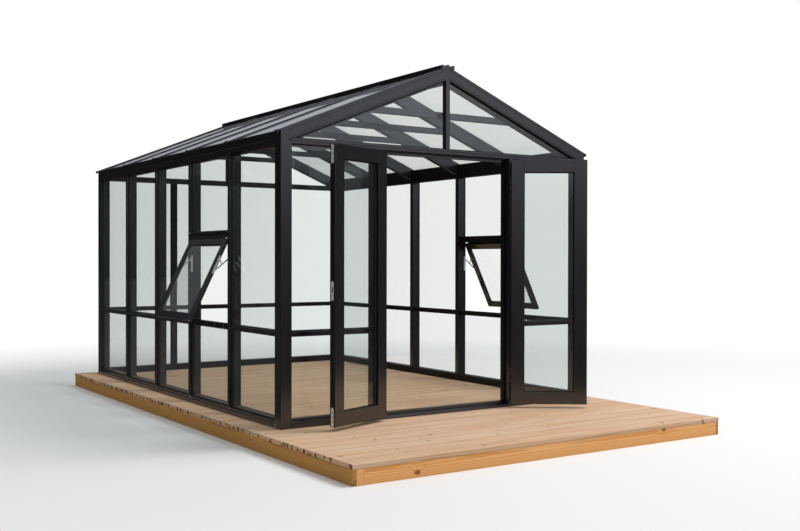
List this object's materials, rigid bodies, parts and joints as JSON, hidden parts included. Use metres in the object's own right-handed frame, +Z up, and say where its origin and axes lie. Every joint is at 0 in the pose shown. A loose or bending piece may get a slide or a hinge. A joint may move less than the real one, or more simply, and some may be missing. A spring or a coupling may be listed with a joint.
{
  "type": "glass greenhouse",
  "caption": "glass greenhouse with black metal frame, pitched roof, open double door and side windows, standing on a low timber deck",
  "frame": {"origin": "centre of the underside of the whole part, on the level ground that the deck stands on", "axes": "+Z up, front gable with the double door faces -Y, +X to the right seen from the front, ridge along Y at X = 0"},
  "size_m": [3.505, 5.617, 2.835],
  "materials": {
    "black_frame": "satin",
    "clear_glass": "gloss",
    "deck_board_timber": "matte",
    "fresh_pine": "matte",
    "weathered_pine": "matte",
    "joist_timber": "matte",
    "bare_steel": "satin"
  },
  "bodies": {
    "house": {"back_mid_rails": "black_frame", "back_posts": "black_frame", "back_sill": "black_frame", "back_wall_panes": "clear_glass", "collar_ties": "black_frame", "corner_posts": "black_frame", "deck_boards": "deck_board_timber", "deck_end_fascias": "fresh_pine", "deck_joists": "joist_timber", "deck_side_fascias": "weathered_pine", "door_frame_hinges": "black_frame", "door_head_stop": "black_frame", "door_posts": "black_frame", "door_threshold": "black_frame", "eave_beams": "black_frame", "front_mid_rails": "black_frame", "front_sills": "black_frame", "front_wall_panes": "clear_glass", "gable_panes": "clear_glass", "gable_tie_beams": "black_frame", "king_posts": "black_frame", "left_glazing_bars": "black_frame", "left_rafters": "black_frame", "left_roof_panes": "clear_glass", "left_wall_panes": "clear_glass", "ridge_beam": "black_frame", "ridge_cap": "black_frame", "right_glazing_bars": "black_frame", "right_rafters": "black_frame", "right_roof_panes": "clear_glass", "right_wall_panes": "clear_glass", "side_mid_rails": "black_frame", "side_posts": "black_frame", "side_sills": "black_frame", "vent_head_rails": "black_frame", "vent_hinges": "black_frame", "vent_sash_panes": "clear_glass", "vent_sash_rails": "black_frame", "vent_sash_stiles": "black_frame", "vent_stays": "bare_steel"},
    "left_door": {"left_door_edge_plates": "bare_steel", "left_door_hinges": "black_frame", "left_door_pane": "clear_glass", "left_door_rails": "black_frame", "left_door_stiles": "black_frame"},
    "right_door": {"right_door_hinges": "black_frame", "right_door_lock_plate": "bare_steel", "right_door_pane": "clear_glass", "right_door_rails": "black_frame", "right_door_stiles": "black_frame"}
  },
  "joints": [
    {"name": "left_door_hinge", "type": "hinge", "parent": "house", "child": "left_door", "pos_m": [-0.619, -1.5145, 0.128], "axis": [0, 0, 1], "range_deg": [-14, 159]},
    {"name": "right_door_hinge", "type": "hinge", "parent": "house", "child": "right_door", "pos_m": [0.619, -1.5145, 0.128], "axis": [0, 0, 1], "range_deg": [-144.5, 29]}
  ]
}
